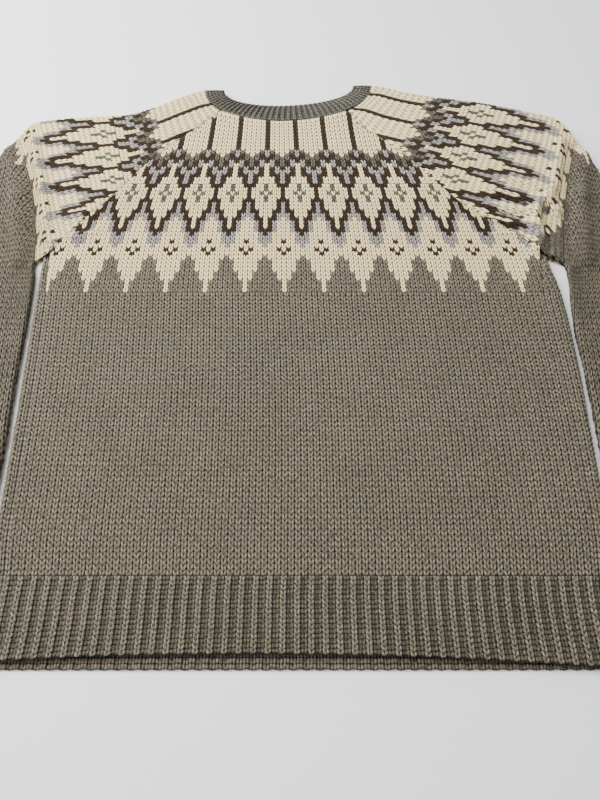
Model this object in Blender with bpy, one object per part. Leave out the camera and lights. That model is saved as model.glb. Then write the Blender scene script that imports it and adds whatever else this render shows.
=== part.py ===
"""A chunky raglan jumper laid out flat, front panel up, built as the pieces a knitter joins.

The cloth lies in two layers. The lower layer rests flat on z = 0 and the upper layer lies on it, and
the two turn into each other in soft rolls along the sides, the shoulders and the sleeves. Every piece
is one wall of cloth, made from a grid of points in the middle of its thickness. Lengths in the tables
are millimetres. y runs from the hem of the back, at 0, towards the neck, and x from the middle of the body.
"""

import math

import bmesh
import bpy
from mathutils import Vector

MM = 0.001

# Cloth
WALL = 3.5                  # thickness of the stockinette
SEAM_GAP = 0.35             # clearance between two joined pieces
UPRIGHT = 0.75              # a wall steeper than this is square to its own slope, others stand upright
LOWER_Z = WALL / 2          # middle of the wall that rests on the surface
UPPER_Z = 7.6               # middle of the upper wall where no fold lifts it
ORIGIN_Y = 300.0            # the origin lies this far from the hem, on the underside of the back

# Body
HEM_DEPTH = 72.0            # rib at the hem, up to the plain knitting
FRONT_HEM_LIFT = 12.0       # the front rib's edge lies this far back from the edge of the back rib
FRONT_HEM_ARCH = 5.0        # how much further it lies back at its middle left
UNDERARM_Y = 402.0
UNDERARM_INSET = 2.0        # the back keeps this clear of the other pieces where its side roll closes

# Neck
NECK_X = -14.0              # the middle of the neck lies a little to the left
NECK_HALF_WIDTH = 105.0
NECK_DROP = 56.0
NECK_TOP_Y = 665.5
NECK_ROW = 12.0             # the last straight row ends this far below the neckband
NECK_TILT = 4.0             # the right side of the neck lies higher, the left side lower
BAND_SIDE = 24.0            # width of the neckband at its folds
BAND_FRONT = 26.0           # width of the neckband at the middle front

# How many points each grid has
FRONT_COLUMNS = 15
CAP_COLUMNS = 9             # across the upper layer of a sleeve
LOWER_COLUMNS = 7           # across the lower layer of a sleeve
ROLL_COLUMNS = 5
UNDERARM_COLUMNS = 3        # round the inner edge of a sleeve, with the seam at the middle one
WRAP_COLUMNS = 3
EDGE_PITCH = 1.3            # spacing of the points at the back's raglan seams
NECK_PITCH = 0.01           # the same at the neck seam, as a share of it
BACK_COLUMNS = 11
BAND_ROWS = 3

# The ribs: rows of the front's edge and the back's edge, and of a cuff
FRONT_HEM_ROWS = (22.0, 52.0)                                       # y above the edge, y from the hem
BACK_HEM_ROWS = ((0.0, 3.0), (24.0, 4.0), (50.0, 3.0), (HEM_DEPTH, 0.0))    # y, how far it draws in
CUFF_DEPTH = 64.0
CUFF_ROWS = ((0.0, 0.0), (0.3, 0.7), (0.6, 1.0), (1.0, 1.0))        # share of its depth, of its draw
CUFF_DRAW = (4.0, 10.0)     # how far the inner and the outer edge of a cuff draw in along the rib

# y, left edge, right edge, how far the back's cloth wraps onto the front: left, right
BODY_ROWS = (
    (HEM_DEPTH, -261.0, 265.0, 12.0, 14.0),
    (100.0, -264.0, 268.0, 12.0, 14.0),
    (150.0, -266.0, 270.0, 12.0, 14.0),
    (205.0, -268.0, 272.0, 12.0, 15.0),
    (262.0, -271.0, 274.0, 13.0, 18.0),
    (318.0, -273.0, 274.0, 12.0, 20.0),
    (362.0, -275.0, 272.0, 11.0, 19.0),
    (UNDERARM_Y, -276.0, 266.0, 8.0, 9.0),
)

# Stations of the raglan seams from underarm to neck: y, x on the left, x on the right
RAGLAN_ROWS = (
    (414.0, -268.0, 257.0),
    (432.0, -258.0, 241.0),
    (452.0, -240.0, 217.0),
    (474.0, -224.0, 188.0),
    (500.0, -205.0, 165.0),
    (530.0, -186.0, 143.0),
    (560.0, -163.0, 119.0),
    (590.0, -133.0, 88.0),
    (612.0, -111.0, 67.0),
)

# Upper edge of a sleeve, a fold, at each raglan station from the underarm to the neck: x, y
LEFT_FOLD = ((-327.0, 604.0), (-319.0, 609.0), (-300.0, 613.0), (-270.0, 617.0), (-237.0, 620.0),
             (-209.0, 622.0), (-181.0, 634.0), (-154.0, 650.0), (-136.0, 660.0))
RIGHT_FOLD = ((319.0, 606.0), (307.0, 618.0), (284.0, 626.0), (253.0, 635.0), (222.0, 643.0),
              (193.0, 649.0), (162.0, 655.0), (130.0, 663.0), (110.0, 670.0))

# Below the underarm: inner edge x, y and outer edge x, y of each sleeve, down to the cuff
LEFT_SLEEVE = (
    (-283.0, 397.0, -339.0, 580.0),
    (-281.0, 378.0, -352.0, 552.0),
    (-278.5, 350.0, -375.0, 507.0),
    (-276.5, 312.0, -400.0, 445.0),
    (-275.0, 262.0, -416.0, 370.0),
    (-272.0, 205.0, -421.0, 288.0),
    (-270.0, 140.0, -413.0, 190.0),
    (-268.0, 70.0, -400.0, 92.0),
    (-266.0, 0.0, -385.0, 4.0),
    (-266.0, -20.0, -381.0, -20.0),
)
RIGHT_SLEEVE = (
    (281.0, 396.0, 330.0, 580.0),
    (284.0, 378.0, 339.0, 550.0),
    (281.0, 350.0, 360.0, 505.0),
    (277.5, 312.0, 388.0, 443.0),
    (277.5, 262.0, 410.0, 368.0),
    (276.0, 205.0, 420.0, 286.0),
    (274.0, 140.0, 416.0, 190.0),
    (272.0, 70.0, 404.0, 92.0),
    (270.0, 0.0, 389.0, 4.0),
    (270.0, -20.0, 385.0, -20.0),
)

# Folds of the upper layer: start x, y, end x, y, half width, height
FOLDS = (
    (-268.0, 90.0, -270.0, 380.0, 22.0, 1.6),
    (268.0, 90.0, 268.0, 380.0, 24.0, 1.9),
    (-262.0, 440.0, -150.0, 585.0, 16.0, 0.7),
    (250.0, 440.0, 110.0, 585.0, 16.0, 0.8),
    (-317.0, 578.0, -290.0, 420.0, 9.0, -1.3),
    (-335.0, 560.0, -312.0, 410.0, 14.0, 1.6),
    (306.0, 572.0, 298.0, 430.0, 9.0, -1.4),
    (325.0, 560.0, 318.0, 410.0, 14.0, 1.6),
    (262.0, 425.0, 190.0, 462.0, 7.0, 1.9),
    (268.0, 440.0, 232.0, 492.0, 7.0, 1.5),
    (280.0, 445.0, 262.0, 520.0, 8.0, 1.3),
    (-120.0, 60.0, 130.0, 40.0, 30.0, 0.8),
    (-200.0, 350.0, 190.0, 335.0, 60.0, 0.7),
)


def upper_z(x, y):
    """Middle of the upper layer at x, y."""
    lift = 0.0
    for start_x, start_y, end_x, end_y, half_width, height in FOLDS:
        run_x = end_x - start_x
        run_y = end_y - start_y
        along = ((x - start_x) * run_x + (y - start_y) * run_y) / (run_x ** 2 + run_y ** 2)
        along = min(1.0, max(0.0, along))
        away = math.hypot(x - start_x - along * run_x, y - start_y - along * run_y)
        lift += height * math.exp(-(away / half_width) ** 2)
    return UPPER_Z + lift


def mix(start, end, share):
    """Point between two points."""
    return tuple(a + (b - a) * share for a, b in zip(start, end))


def neck_point(angle, inset=0.0):
    """The seam of the neckband, moved inset towards the opening; angle pi is left and 2 pi right."""
    x = NECK_X + (NECK_HALF_WIDTH - inset) * math.cos(angle)
    y = NECK_TOP_Y + NECK_TILT * math.cos(angle) + (NECK_DROP - inset) * math.sin(angle)
    return (x, y)


def opening_point(angle):
    """The inner edge of the neckband."""
    x = NECK_X + (NECK_HALF_WIDTH - BAND_SIDE) * math.cos(angle)
    y = NECK_TOP_Y + NECK_TILT * math.cos(angle) + (NECK_DROP - BAND_FRONT) * math.sin(angle)
    return (x, y)


# The neck seam is met by the sleeves at its sides and by the front and back between them
RAGLAN_TOP_LEFT = math.radians(218.0)
RAGLAN_TOP_RIGHT = math.radians(314.0)
NECK_ANGLES_LEFT = [math.pi + (RAGLAN_TOP_LEFT - math.pi) * i / (CAP_COLUMNS - 1)
                    for i in range(CAP_COLUMNS)]
NECK_ANGLES_FRONT = [RAGLAN_TOP_LEFT + (RAGLAN_TOP_RIGHT - RAGLAN_TOP_LEFT) * i / (FRONT_COLUMNS - 1)
                     for i in range(FRONT_COLUMNS)]
CORNER_TURN = SEAM_GAP / NECK_DROP      # turn along the neck seam that clears the corner of a sleeve
NECK_ANGLES_RIGHT = [RAGLAN_TOP_RIGHT + (2 * math.pi - RAGLAN_TOP_RIGHT) * i / (CAP_COLUMNS - 1)
                     for i in range(CAP_COLUMNS)]


def roll(x, y, direction, count):
    """Half turn from the upper layer at x, y to the lower one, out along the unit vector direction."""
    top = upper_z(x, y)
    radius = (top - LOWER_Z) / 2
    points = []
    for i in range(1, count + 1):
        turn = math.pi * i / (count + 1)
        out = radius * math.sin(turn)
        z = LOWER_Z + radius + radius * math.cos(turn)
        points.append((x + out * direction[0], y + out * direction[1], z))
    return points


def roll_reach(x, y):
    """How far the outside of a roll reaches beyond the point where it leaves the upper layer."""
    return (upper_z(x, y) - LOWER_Z) / 2 + WALL / 2


def mesh_object(name, colour, roughness, vertices, faces):
    """An object of one closed mesh, in metres, with its own material."""
    mesh = bpy.data.meshes.new(name)
    mesh.from_pydata([((x * MM), (y - ORIGIN_Y) * MM, z * MM) for x, y, z in vertices], [], faces)
    builder = bmesh.new()
    builder.from_mesh(mesh)
    bmesh.ops.recalc_face_normals(builder, faces=builder.faces)
    bmesh.ops.triangulate(builder, faces=builder.faces)
    builder.to_mesh(mesh)
    builder.free()
    mesh.shade_smooth()
    mesh.set_sharp_from_angle(angle=math.radians(50.0))
    material = bpy.data.materials.new(name)
    material.use_nodes = True
    shader = material.node_tree.nodes["Principled BSDF"]
    shader.inputs["Base Color"].default_value = (*colour, 1.0)
    shader.inputs["Roughness"].default_value = roughness
    shader.inputs["Metallic"].default_value = 0.0
    mesh.materials.append(material)
    piece = bpy.data.objects.new(name, mesh)
    bpy.context.collection.objects.link(piece)
    return piece


def square(normal, end_way):
    """A wall's normal, upright in the two layers and in line with end_way at a piece's end rows."""
    if abs(normal.z) > UPRIGHT:
        return Vector((0.0, 0.0, math.copysign(1.0, normal.z)))
    if end_way:
        side = Vector((-end_way[1], end_way[0], 0.0))
        return (normal - side * normal.dot(side)).normalized()
    return normal


def wall(name, rows, colour, first_way=None, last_way=None, roughness=0.95):
    """A wall of cloth around a grid of points in the middle of its thickness.

    first_way and last_way are the directions of the rolls in the first and the last row.
    """
    count = len(rows[0])
    grid = [[Vector(point) for point in row] for row in rows]
    outside = []
    inside = []
    for i, row in enumerate(grid):
        before = grid[max(i - 1, 0)]
        after = grid[min(i + 1, len(grid) - 1)]
        for j, point in enumerate(row):
            across = row[min(j + 1, count - 1)] - row[max(j - 1, 0)]
            along = after[j] - before[j]
            end_way = {0: first_way, len(grid) - 1: last_way}.get(i)
            normal = square(across.cross(along).normalized(), end_way) * WALL / 2
            outside.append(point + normal)
            inside.append(point - normal)
    vertices = [tuple(point) for point in outside + inside]
    below = len(outside)
    faces = []
    for i in range(len(grid) - 1):
        for j in range(count - 1):
            a = i * count + j
            corners = (a, a + 1, a + count + 1, a + count)
            faces.append(corners)
            faces.append(tuple(corner + below for corner in reversed(corners)))
    last = (len(grid) - 1) * count
    rim = list(range(count))
    rim += [i * count + count - 1 for i in range(1, len(grid))]
    rim += [last + j for j in range(count - 2, -1, -1)]
    rim += [i * count for i in range(len(grid) - 2, 0, -1)]
    for i, a in enumerate(rim):
        b = rim[(i + 1) % len(rim)]
        faces.append((b, a, a + below, b + below))
    return mesh_object(name, colour, roughness, vertices, faces)


def spread(count):
    """Shares from 0 to 1."""
    return [i / (count - 1) for i in range(count)]


def body_seams(row):
    """x of the two side seams on the upper layer."""
    y, left, right, wrap_left, wrap_right = row
    return left + wrap_left, right - wrap_right


def front_row(left, right, y, arch=0.0):
    """Straight row of the front between two seams; arch moves its middle along y."""
    points = []
    for share in spread(FRONT_COLUMNS):
        x = left + SEAM_GAP + (right - left - 2 * SEAM_GAP) * share
        row_y = y + arch * math.sin(math.pi * share)
        points.append((x, row_y, upper_z(x, row_y)))
    return points


def yoke_dip(y):
    """How far the middle of a yoke row at y lies below its ends, so that the last row clears the neck."""
    top = RAGLAN_ROWS[-1][0]
    return (top - (NECK_TOP_Y - NECK_DROP) + NECK_ROW) * ((y - UNDERARM_Y) / (top - UNDERARM_Y)) ** 4


def neck_edge(shares):
    """Points of the front or back along the neckband, at shares of the way between the raglan seams."""
    first = RAGLAN_TOP_LEFT + CORNER_TURN
    last = RAGLAN_TOP_RIGHT - CORNER_TURN
    return [neck_point(first + (last - first) * share, -SEAM_GAP) for share in shares]


def front_rows():
    """The front panel from the rib to the neckband."""
    rows = []
    for row in BODY_ROWS:
        left, right = body_seams(row)
        y = row[0] + SEAM_GAP if row[0] == HEM_DEPTH else row[0]
        rows.append(front_row(left, right, y))
    for y, left, right in RAGLAN_ROWS:
        rows.append(front_row(left, right, y, -yoke_dip(y)))
    rows.append([(x, y, upper_z(x, y)) for x, y in neck_edge(spread(FRONT_COLUMNS))])
    return rows


def back_row(row, hem_gap=0.0):
    """A row of the back: its two wraps on the upper layer, the rolls, and the cloth that rests."""
    y, left, right = row[0] + hem_gap, row[1], row[2]
    seam_left, seam_right = body_seams(row)
    turn_left = left + roll_reach(left, y)
    turn_right = right - roll_reach(right, y)
    points = []
    for share in spread(WRAP_COLUMNS):
        x = seam_left + (turn_left - seam_left) * share
        points.append((x, y, upper_z(x, y)))
    points += roll(turn_left, y, (-1.0, 0.0), ROLL_COLUMNS)
    for share in spread(BACK_COLUMNS):
        points.append((turn_left + (turn_right - turn_left) * share, y, LOWER_Z))
    points += reversed(roll(turn_right, y, (1.0, 0.0), ROLL_COLUMNS))
    for share in spread(WRAP_COLUMNS):
        x = turn_right + (seam_right - turn_right) * share
        points.append((x, y, upper_z(x, y)))
    return points


def flat_back_row(left, right, y, arch, inset):
    """A row of the back above the underarm, all on the surface, with as many points as back_row gives.

    The points that form the wraps and rolls below the underarm stand close together at the raglan seams.
    """
    edge_count = WRAP_COLUMNS + ROLL_COLUMNS
    start = left + inset
    end = right - inset
    inner = edge_count * EDGE_PITCH
    xs = [start + i * EDGE_PITCH for i in range(edge_count)]
    xs += [start + inner + (end - start - 2 * inner) * share for share in spread(BACK_COLUMNS)]
    xs += [end - i * EDGE_PITCH for i in range(edge_count - 1, -1, -1)]
    return [(x, y + arch * math.sin(math.pi * (x - start) / (end - start)), LOWER_Z) for x in xs]


def back_rows():
    """The back panel from the rib to the neckband."""
    rows = [back_row(row, SEAM_GAP if row[0] == HEM_DEPTH else 0.0) for row in BODY_ROWS[:-1]]
    y, left, right, wrap_left, wrap_right = BODY_ROWS[-1]
    rows.append(back_row((y, left, right, wrap_left - UNDERARM_INSET, wrap_right - UNDERARM_INSET)))
    for y, left, right in RAGLAN_ROWS:
        inset = UNDERARM_INSET if y == RAGLAN_ROWS[0][0] else SEAM_GAP
        rows.append(flat_back_row(left, right, y, -yoke_dip(y), inset))
    edge_count = WRAP_COLUMNS + ROLL_COLUMNS
    inner = edge_count * NECK_PITCH
    shares = [i * NECK_PITCH for i in range(edge_count)]
    shares += [inner + (1.0 - 2 * inner) * share for share in spread(BACK_COLUMNS)]
    shares += [1.0 - i * NECK_PITCH for i in range(edge_count - 1, -1, -1)]
    rows.append([(x, y, LOWER_Z) for x, y in neck_edge(shares)])
    return rows


def hem_front_rows():
    """The front's rib, its lower edge lifted in an arch."""
    left, right = body_seams(BODY_ROWS[0])
    edge = FRONT_HEM_LIFT - FRONT_HEM_ARCH
    return [front_row(left, right, edge, FRONT_HEM_ARCH),
            front_row(left, right, edge + FRONT_HEM_ROWS[0], FRONT_HEM_ARCH / 2),
            front_row(left, right, FRONT_HEM_ROWS[1]),
            front_row(left, right, HEM_DEPTH)]


def hem_back_rows():
    """The back's rib, with the wraps at its sides."""
    top = BODY_ROWS[0]
    rows = []
    for y, draw in BACK_HEM_ROWS:
        rows.append(back_row((y, top[1] + draw, top[2] - draw, top[3] - draw, top[4] - draw)))
    return rows


def sleeve_section(inner, outer, cap):
    """A row of a sleeve from its front edge over the fold and back beneath.

    In the cap both edges end at the raglan seams. Below it the row starts and ends at the underarm
    seam, half way round the roll of the inner edge.
    """
    run = (outer[0] - inner[0], outer[1] - inner[1])
    length = math.hypot(*run)
    way = (run[0] / length, run[1] / length)
    reach = roll_reach(*outer)
    turn = (outer[0] - reach * way[0], outer[1] - reach * way[1])
    points = []
    if cap:
        for share in spread(CAP_COLUMNS + 2):
            x, y = mix(inner, turn, share)
            points.append((x, y, upper_z(x, y)))
        start = inner
    else:
        reach = roll_reach(*inner)
        start = (inner[0] + reach * way[0], inner[1] + reach * way[1])
        bend = roll(*start, (-way[0], -way[1]), UNDERARM_COLUMNS)
        points += [(bend[1][0], bend[1][1], bend[1][2] + SEAM_GAP / 2), bend[0]]
        for share in spread(CAP_COLUMNS):
            x, y = mix(start, turn, share)
            points.append((x, y, upper_z(x, y)))
    points += roll(*turn, way, ROLL_COLUMNS)
    if cap:
        for share in spread(LOWER_COLUMNS + 2):
            points.append((*mix(turn, inner, share), LOWER_Z))
    else:
        for share in spread(LOWER_COLUMNS):
            points.append((*mix(turn, start, share), LOWER_Z))
        points += [bend[2], (bend[1][0], bend[1][1], bend[1][2] - SEAM_GAP / 2)]
    return points


def neck_section(left):
    """The sleeve's row along the neckband: the neck seam, its fold and the seam beneath."""
    first, last = (RAGLAN_TOP_LEFT, math.pi) if left else (RAGLAN_TOP_RIGHT, 2 * math.pi)
    points = []
    for share in spread(CAP_COLUMNS + 2):
        x, y = neck_point(first + (last - first) * share, -SEAM_GAP)
        points.append((x, y, upper_z(x, y)))
    turn = neck_point(last, -SEAM_GAP)
    points += roll(*turn, (0.0, 1.0), ROLL_COLUMNS)
    for share in spread(LOWER_COLUMNS + 2):
        points.append((*neck_point(last + (first - last) * share, -SEAM_GAP), LOWER_Z))
    return points


def sleeve_rows(left):
    """A sleeve from the neckband to the cuff."""
    folds = LEFT_FOLD if left else RIGHT_FOLD
    rows = [neck_section(left)]
    for station, fold in reversed(list(zip(RAGLAN_ROWS, folds))):
        inner = (station[1] if left else station[2], station[0])
        rows.append(sleeve_section(inner, fold, True))
    table = LEFT_SLEEVE if left else RIGHT_SLEEVE
    for inner_x, inner_y, outer_x, outer_y in table:
        rows.append(sleeve_section((inner_x, inner_y), (outer_x, outer_y), False))
    return rows


def cuff_rows(left):
    """The cuff's rib, which draws in towards its edge."""
    inner_x, inner_y, outer_x, outer_y = (LEFT_SLEEVE if left else RIGHT_SLEEVE)[-1]
    side = 1.0 if inner_x > 0 else -1.0
    rows = []
    for share, pull in CUFF_ROWS:
        y = inner_y - SEAM_GAP - CUFF_DEPTH * share
        inner = (inner_x + side * CUFF_DRAW[0] * pull, y)
        outer = (outer_x - side * CUFF_DRAW[1] * pull, y)
        rows.append(sleeve_section(inner, outer, False))
    return rows


def band_point(angle, share):
    """A point of the neckband at a share of the way from its seam to the opening."""
    return mix(neck_point(angle, SEAM_GAP), opening_point(angle), share)


def neckband_rows():
    """The neckband, a ring folded flat at the two tops of the neck, its ends meeting on the left."""
    angles = NECK_ANGLES_LEFT + NECK_ANGLES_FRONT[1:-1] + NECK_ANGLES_RIGHT
    rows = []
    for share in spread(BAND_ROWS):
        plan = [band_point(angle, share) for angle in angles]
        row = []
        bend = roll(*plan[0], (0.0, 1.0), ROLL_COLUMNS)
        half = ROLL_COLUMNS // 2
        middle = bend[half]
        row.append((middle[0], middle[1], middle[2] + SEAM_GAP / 2))
        row += [bend[i] for i in range(half - 1, -1, -1)]
        row += [(x, y, upper_z(x, y)) for x, y in plan]
        row += roll(*plan[-1], (0.0, 1.0), ROLL_COLUMNS)
        row += [(x, y, LOWER_Z) for x, y in reversed(plan)]
        row += [bend[i] for i in range(ROLL_COLUMNS - 1, half, -1)]
        row.append((middle[0], middle[1], middle[2] - SEAM_GAP / 2))
        rows.append(row)
    return rows


def main():
    """Make every piece of the jumper."""
    for item in list(bpy.data.objects):
        bpy.data.objects.remove(item, do_unlink=True)
    taupe = (0.16, 0.14, 0.11)
    cream = (0.70, 0.63, 0.50)
    grey = (0.14, 0.13, 0.115)
    side = (1.0, 0.0)
    up = (0.0, 1.0)
    wall("back_panel", back_rows(), taupe, side, up)
    wall("front_panel", front_rows(), cream)
    wall("hem_rib_back", hem_back_rows(), taupe, side, side)
    wall("hem_rib_front", hem_front_rows(), taupe)
    for name, left in (("left", True), ("right", False)):
        wall("sleeve_" + name, sleeve_rows(left), taupe, up, side)
        wall("cuff_" + name, cuff_rows(left), taupe, side, side)
    wall("neckband", neckband_rows(), grey, up, up)


main()
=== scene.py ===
"""A chunky fair isle jumper laid out flat: knitted shells on the frame's pieces, the stage and its light.

Every piece is a closed wall of cloth. Its outer face follows the knitting: the rows of the mesh run down
and up along the V of each stitch, so that the colours of the yoke change where the yarn does. Lengths are
millimetres; y runs from the hem of the back, at 0, towards the neck, and x from the middle of the body.
The origin of the frame lies ORIGIN_Y from the hem. s counts stitches along a row and t counts rows. The
side of a piece is -1 on the left and 1 on the right.
"""

import math

import bpy
import numpy as np
from bpy.props import FloatProperty, FloatVectorProperty, PointerProperty
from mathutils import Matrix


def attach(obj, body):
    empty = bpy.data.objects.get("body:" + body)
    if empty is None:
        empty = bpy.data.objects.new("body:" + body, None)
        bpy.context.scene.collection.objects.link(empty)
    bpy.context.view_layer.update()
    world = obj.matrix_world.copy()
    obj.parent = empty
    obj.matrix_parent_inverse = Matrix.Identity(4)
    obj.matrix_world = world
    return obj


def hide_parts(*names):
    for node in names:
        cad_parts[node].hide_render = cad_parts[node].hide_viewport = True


bl_info = {
    "name": "Fair Isle Jumper",
    "version": (1, 0, 0),
    "blender": (4, 5, 0),
    "location": "3D View > Sidebar > Jumper",
    "description": "Knits a fair isle jumper, laid flat, onto its frame",
    "category": "Add Mesh",
}

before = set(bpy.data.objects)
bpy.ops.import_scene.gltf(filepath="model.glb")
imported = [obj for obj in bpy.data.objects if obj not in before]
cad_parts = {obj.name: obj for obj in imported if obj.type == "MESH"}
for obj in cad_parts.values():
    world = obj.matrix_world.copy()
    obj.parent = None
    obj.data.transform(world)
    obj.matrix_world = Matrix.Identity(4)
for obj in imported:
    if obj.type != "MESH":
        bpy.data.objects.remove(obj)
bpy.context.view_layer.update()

MM = 0.001
ORIGIN_Y = 300.0
WALL = 3.5                  # thickness of the cloth
LOWER_Z = WALL / 2          # middle of the wall that rests on the surface
UPPER_Z = 7.6               # middle of the upper wall where no fold lifts it
LOWEST_UPPER_Z = 5.3        # the same where the upper wall touches the lower one
FOLD_CEILING = 13.0         # the height that folds running together come close to
RIPPLE = 0.35               # height of the slight waves of the upper layer, and their lengths over x and y
RIPPLE_ONE = (41.0, 67.0)
RIPPLE_TWO = (90.0, 38.0)
SEAM_GAP = 0.4              # clearance at the neckband and the cuffs
SEED = 7

# Body
HEM_DEPTH = 72.0
FRONT_HEM_LIFT = 12.0       # how far the front's rib ends above the back's where it is highest
FRONT_HEM_ARCH = 5.0        # how far it has dropped at FRONT_ARCH_REACH from there
FRONT_ARCH_X = -40.0
FRONT_ARCH_REACH = 200.0
UNDERARM_Y = 402.0
CLOSE_Y = 414.0             # above this the back's edge lies on the raglan seam

# Neck
NECK_X = -14.0
NECK_HALF_WIDTH = 105.0
NECK_DROP = 56.0
NECK_TOP_Y = 665.5
NECK_TILT = 4.0
BAND_SIDE = 24.0
BAND_FRONT = 26.0
RAGLAN_TOP_LEFT = math.radians(218.0)
RAGLAN_TOP_RIGHT = math.radians(314.0)

# Knitting
PLAIN_STITCHES = 88         # across the front
BACK_STITCHES = 100         # across the back and what wraps onto the front
PLAIN_ROWS = 59             # from the hem's rib to the first row of the yoke
SLEEVE_ROW = 6.2            # height and width of a stitch on the sleeves
SLEEVE_WIDTH = 6.7
CUFF_WIDTH = 6.1            # width of a rib's column in the cuffs
YOKE_Y = 358.0              # first row of the yoke
YOKE_ROW = 5.34
YOKE_ROWS = 47
WIDE_ROWS = 28              # rows of the eight-stitch repeat, the rest have six
WIDE_REPEAT = 8
NARROW_REPEAT = 6
STRAIGHT_ROW = 37.8         # above this row the yoke's rows bend up to the neck's sides
TOP_SIDE_Y = 628.0          # y of the last row at the raglan seams
PATTERN_X = -16.0           # middle of the pattern on its first row, and its drift with each row
PATTERN_DRIFT = 0.134
YOKE_BEND = 1.1             # the rows stop bending this far out, as a share of the way to the raglan seam
CHEVRON = 0.7               # how far a stitch's legs rise from its middle to its sides, in rows
WALE_GROOVE = 1.7           # depth of the knitting's grooves: between columns of stitches,
MIDDLE_GROOVE = 1.1         # down the middle of a column, and between rows
ROW_GROOVE = 0.9
MIDDLE_REACH = 0.2          # half the width of the groove down the middle, in stitches
RIB_GROOVE = 1.9            # depth of a rib's purl columns
RIB_WALL = 0.8              # share of it where knit and purl columns meet
SEAM_SINK = 1.3             # depth of the cloth's edge at a seam, and how far in it reaches
SEAM_REACH = 3.0
END_DEPTH = 0.6             # depth of the first and the last point of a row
JOIN_DEPTH = 0.75           # depth of the first and the last row of a part of plain knitting, and of a rib
RIB_JOIN_DEPTH = 0.85
TUCK_DEPTH = 1.2            # depth of stitches that the tuck of a sleeve squeezes flat
TUCK_EASE = 1.6             # stitches keep their full height down to a squeeze of one over this
RIB_SEAM_DEPTH = 0.8        # depth of a rib at its seam, and the rows in which it gets there
RIB_SEAM_ROWS = 1.5
RIB_EDGE_DEPTH = 1.0        # the same at its free edge, reached by a share
RIB_EDGE_SHARE = 0.6
RIB_SCALLOP = 0.5           # how far the knit columns of a rib stand out past its edge
WOBBLE = 0.12               # unevenness of the stitches' height
WOBBLES = 4096              # how many different heights there are, and the steps between neighbours
WOBBLE_STEPS = (131, 17)
EDGE_MARGIN = 0.08          # no mesh column stands nearer to a row's end, in stitches
TINY = 1e-6                 # keeps points on the border of two stitches or rows in the upper one
THINNER = 0.1               # how much thinner than WALL the cloth is modelled
INSIDE_SHADE = 0.9          # painted shade of the inner face and of the edges that close the wall
PURL_SHADE = 0.52           # painted shade of the purl columns, which lie deep
DARKEST_SHADE = 0.8         # tone of the brown at the points of the zigzags
ACROSS = 4                  # mesh columns in a stitch
ALONG = 2                   # mesh rows in a stitch
INNER_COLUMNS = 40          # the grid of a wall's inner face, and the height of its cells in rows
INNER_STEP = 3.0
SLEEVE_INNER_COLUMNS = 110
SLEEVE_INNER_STEP = 2.0
HEM_INNER_STEP = 0.5
BAND_INNER_COLUMNS = 140
JOIN = 0.04                 # height, in rows, of the strip where the number of stitches changes

# y, left edge, right edge, how far the back's cloth wraps onto the front: left, right
BODY_ROWS = (
    (0.0, -259.0, 262.0, 9.0, 11.0),
    (24.0, -258.0, 261.0, 9.0, 11.0),
    (50.0, -259.0, 262.0, 10.0, 12.0),
    (HEM_DEPTH, -261.0, 265.0, 12.0, 14.0),
    (100.0, -264.0, 268.0, 12.0, 14.0),
    (150.0, -266.0, 270.0, 12.0, 14.0),
    (205.0, -268.0, 272.0, 12.0, 15.0),
    (262.0, -271.0, 274.0, 13.0, 18.0),
    (318.0, -273.0, 274.0, 12.0, 20.0),
    (362.0, -275.0, 272.0, 11.0, 19.0),
    (UNDERARM_Y, -276.0, 266.0, 8.0, 9.0),
    (CLOSE_Y, -276.0, 266.0, 8.0, 9.0),
)

# Raglan seams from underarm to neck: y, x on the left, x on the right
RAGLAN_ROWS = (
    (UNDERARM_Y, -268.0, 257.0),
    (CLOSE_Y, -268.0, 257.0),
    (432.0, -258.0, 241.0),
    (452.0, -240.0, 217.0),
    (474.0, -224.0, 188.0),
    (500.0, -205.0, 165.0),
    (530.0, -186.0, 143.0),
    (560.0, -163.0, 119.0),
    (590.0, -133.0, 88.0),
    (612.0, -111.0, 67.0),
)

# Upper edge of a sleeve, a fold, at each raglan station: x, y
LEFT_FOLD = ((-331.0, 597.0), (-327.0, 604.0), (-319.0, 609.0), (-300.0, 613.0), (-270.0, 617.0),
             (-237.0, 620.0), (-209.0, 622.0), (-181.0, 634.0), (-154.0, 650.0), (-136.0, 660.0))
RIGHT_FOLD = ((324.0, 598.0), (319.0, 606.0), (307.0, 618.0), (284.0, 626.0), (253.0, 635.0),
              (222.0, 643.0), (193.0, 649.0), (162.0, 655.0), (130.0, 663.0), (110.0, 670.0))

# Below the underarm: inner edge x, y and outer edge x, y of each sleeve, down to the cuff
LEFT_SLEEVE = (
    (-283.0, 397.0, -339.0, 580.0),
    (-281.0, 378.0, -352.0, 552.0),
    (-278.5, 350.0, -375.0, 507.0),
    (-276.5, 312.0, -400.0, 445.0),
    (-275.0, 262.0, -416.0, 370.0),
    (-272.0, 205.0, -421.0, 288.0),
    (-270.0, 140.0, -413.0, 190.0),
    (-268.0, 70.0, -400.0, 92.0),
    (-266.0, 0.0, -385.0, 4.0),
    (-266.0, -20.0, -381.0, -20.0),
)
RIGHT_SLEEVE = (
    (281.0, 396.0, 330.0, 580.0),
    (284.0, 378.0, 339.0, 550.0),
    (281.0, 350.0, 360.0, 505.0),
    (277.5, 312.0, 388.0, 443.0),
    (277.5, 262.0, 410.0, 368.0),
    (276.0, 205.0, 420.0, 286.0),
    (274.0, 140.0, 416.0, 190.0),
    (272.0, 70.0, 404.0, 92.0),
    (270.0, 0.0, 389.0, 4.0),
    (270.0, -20.0, 385.0, -20.0),
)
CUFF_DEPTH = 64.0
CUFF_ROWS = 13
CUFF_DRAW = (4.0, 10.0)     # how far the inner and the outer edge draw in along the rib
CUFF_SHAPE = ((0.0, 1.0), (0.4, 1.0), (0.7, 0.7), (1.0, 0.0))   # share of its depth, of its draw

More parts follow.
